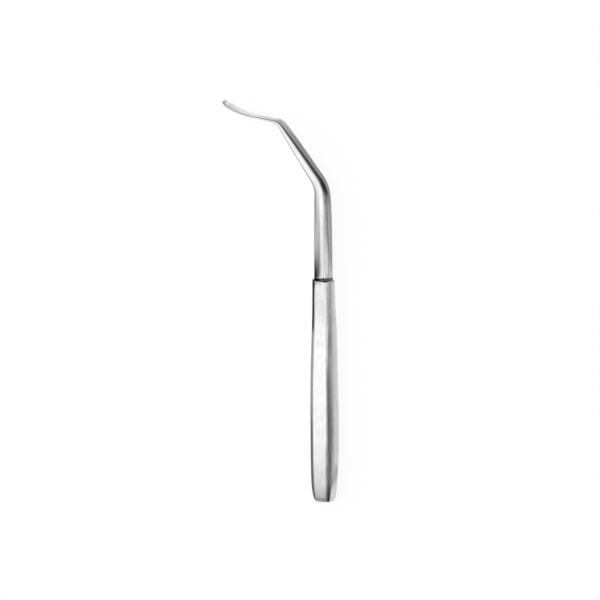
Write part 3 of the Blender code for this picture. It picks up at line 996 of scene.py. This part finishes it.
def pale_card():
    """A pale card standing right of the joint, for the side of the shank and the front of the handle."""
    rows = [[((CARD_ACROSS, y, z), (z, y)) for z in CARD_HEIGHTS] for y in CARD_ENDS]
    material, shading, strength = glowing("card_glow")
    z, y = shading.place("UV")[:2]
    glow = shading.blend(shading.levels(z, CARD_REST), CARD_JOINT, shading.window(y, *JOINT_STRETCH))
    glow = shading.blend(glow, shading.levels(z, CARD_UNEVEN), shading.window(y, *UNEVEN_STRETCH))
    shading.links.new(glow, strength)
    reflected_sheet("reflected_card", rows, material)


floor = level_square("studio_floor", FLOOR_HALF, FLOOR_HEIGHT, matt("pale_floor", FLOOR_GREY, FLOOR_GLOW))
floor.visible_glossy = False
table()
dark_screen()
soft_cloud()
pale_card()
blade_sheen()

# Light of the world.  ARCH is its strength by the turn about the handle's axis, in degrees from +X over the
# top, and ENDS a factor by how far a direction points forward.  Each pair of SHADES takes light away, by
# the turn and by the pointing forward, and POLE takes it away straight ahead.
ARCH = ((-180.0, 0.76), (-120.0, 0.76), (-60.0, 0.30), (-30.0, 0.12), (-5.0, 0.12), (0.0, 0.22),
        (3.0, 0.40), (6.0, 0.58), (18.0, 0.82), (32.0, 0.96), (45.0, 1.0), (58.0, 1.06), (68.0, 1.30),
        (76.0, 1.66), (84.0, 1.83), (100.0, 1.65), (110.0, 1.58), (122.0, 1.50), (129.0, 0.78),
        (180.0, 0.76))
ENDS = ((-1.0, 0.80), (-0.19, 1.0), (0.1, 0.85), (1.0, 0.70))
REAR_TOP = ((-180.0, 0.0), (-25.0, 0.0), (-15.0, 1.0), (128.0, 1.0), (146.0, 0.0), (180.0, 0.0))
REARWARD = ((-1.0, 0.73), (-0.8, 0.71), (-0.66, 0.66), (-0.56, 0.50), (-0.47, 0.37), (-0.35, 0.35),
            (-0.25, 0.20), (-0.212, 0.09), (-0.19, 0.0), (1.0, 0.0))
RIGHT_REAR = ((-180.0, 0.0), (-25.0, 0.0), (-15.0, 1.0), (45.0, 1.0), (75.0, 0.88), (95.0, 0.70),
              (106.0, 0.16), (125.0, 0.0), (180.0, 0.0))
TO_REAR = ((-1.0, 0.88), (-0.42, 0.90), (-0.30, 0.86), (-0.25, 0.80), (-0.225, 0.66), (-0.215, 0.46),
           (-0.20, 0.24), (-0.188, 0.0), (1.0, 0.0))
RIGHT_FRONT = ((-180.0, 0.0), (-25.0, 0.0), (-15.0, 1.0), (45.0, 1.0), (60.0, 0.70), (75.0, 0.40),
               (95.0, 0.12), (125.0, 0.0), (180.0, 0.0))
TO_FRONT = ((-1.0, 0.0), (-0.185, 0.0), (-0.15, 0.26), (-0.10, 0.55), (0.0, 0.75), (0.1, 0.88),
            (0.22, 0.94), (0.38, 0.94), (0.55, 0.86), (1.0, 0.86))
POLE = ((-1.0, 0.0), (0.80, 0.0), (0.93, 0.93), (1.0, 0.93))
SHADES = ((REAR_TOP, REARWARD), (RIGHT_REAR, TO_REAR), (RIGHT_FRONT, TO_FRONT))
SEEN_LEVEL = 1.0


def studio_world():
    """Soft light: brightest overhead, grey on the left, dimmer low on the right and towards both ends.

    The camera itself sees it as an even white.
    """
    world = bpy.data.worlds.new("studio")
    bpy.context.scene.world = world
    world.use_nodes = True
    shading = Shading(world.node_tree)
    background = shading.nodes["Background"]
    across, along, up = shading.place("Generated")
    turn = shading.maths("MULTIPLY", shading.maths("ARCTAN2", up, across), 180.0 / math.pi)
    light = shading.maths("MULTIPLY", shading.levels(turn, ARCH), shading.levels(along, ENDS))
    shades = [shading.maths("MULTIPLY", shading.levels(turn, round_axis), shading.levels(along, forward))
              for round_axis, forward in SHADES]
    for shade in shades + [shading.levels(along, POLE)]:
        light = shading.blend(light, 0.0, shade)
    seen = shading.nodes.new("ShaderNodeLightPath").outputs["Is Camera Ray"]
    shading.links.new(shading.blend(light, SEEN_LEVEL, seen), background.inputs["Strength"])
    background.inputs["Color"].default_value = (1.0, 1.0, 1.0, 1.0)


studio_world()


# ---------------------------------------------------------------- camera

# The camera looks from far off: a turn to the right, a tip forward and a roll, the width of its frame in
# metres, and the middle of that frame, to the right of the shoulder and up from it.
VIEW_ROUND = math.radians(21.5)
VIEW_TIP = math.radians(11.0)
ROLL = math.radians(-0.45)
FRAME_WIDTH = 0.2410
MIDDLE_RIGHT = -0.00942
MIDDLE_UP = -0.0092
DISTANCE = 10.0
SENSOR = 36.0
CLIP = (0.01, 50.0)

towards = Vector((math.sin(VIEW_ROUND) * math.cos(VIEW_TIP), math.sin(VIEW_TIP),
                  math.cos(VIEW_ROUND) * math.cos(VIEW_TIP)))
upright = (Vector((0.0, 1.0, 0.0)) - towards.y * towards).normalized()
rightward = upright.cross(towards)
rightward, upright = (math.cos(ROLL) * rightward + math.sin(ROLL) * upright,
                      -math.sin(ROLL) * rightward + math.cos(ROLL) * upright)
target = AXIS + rightward * MIDDLE_RIGHT + upright * MIDDLE_UP
camera_data = bpy.data.cameras.new("camera")
camera = bpy.data.objects.new("camera", camera_data)
camera_data.sensor_width = SENSOR
camera_data.lens = SENSOR * DISTANCE / FRAME_WIDTH
camera_data.clip_start, camera_data.clip_end = CLIP
basis = Matrix((rightward, upright, towards)).transposed()
camera.matrix_world = Matrix.Translation(target + towards * DISTANCE) @ basis.to_4x4()
bpy.context.scene.collection.objects.link(camera)
bpy.context.scene.camera = camera
bpy.context.scene.view_settings.view_transform = "Standard"
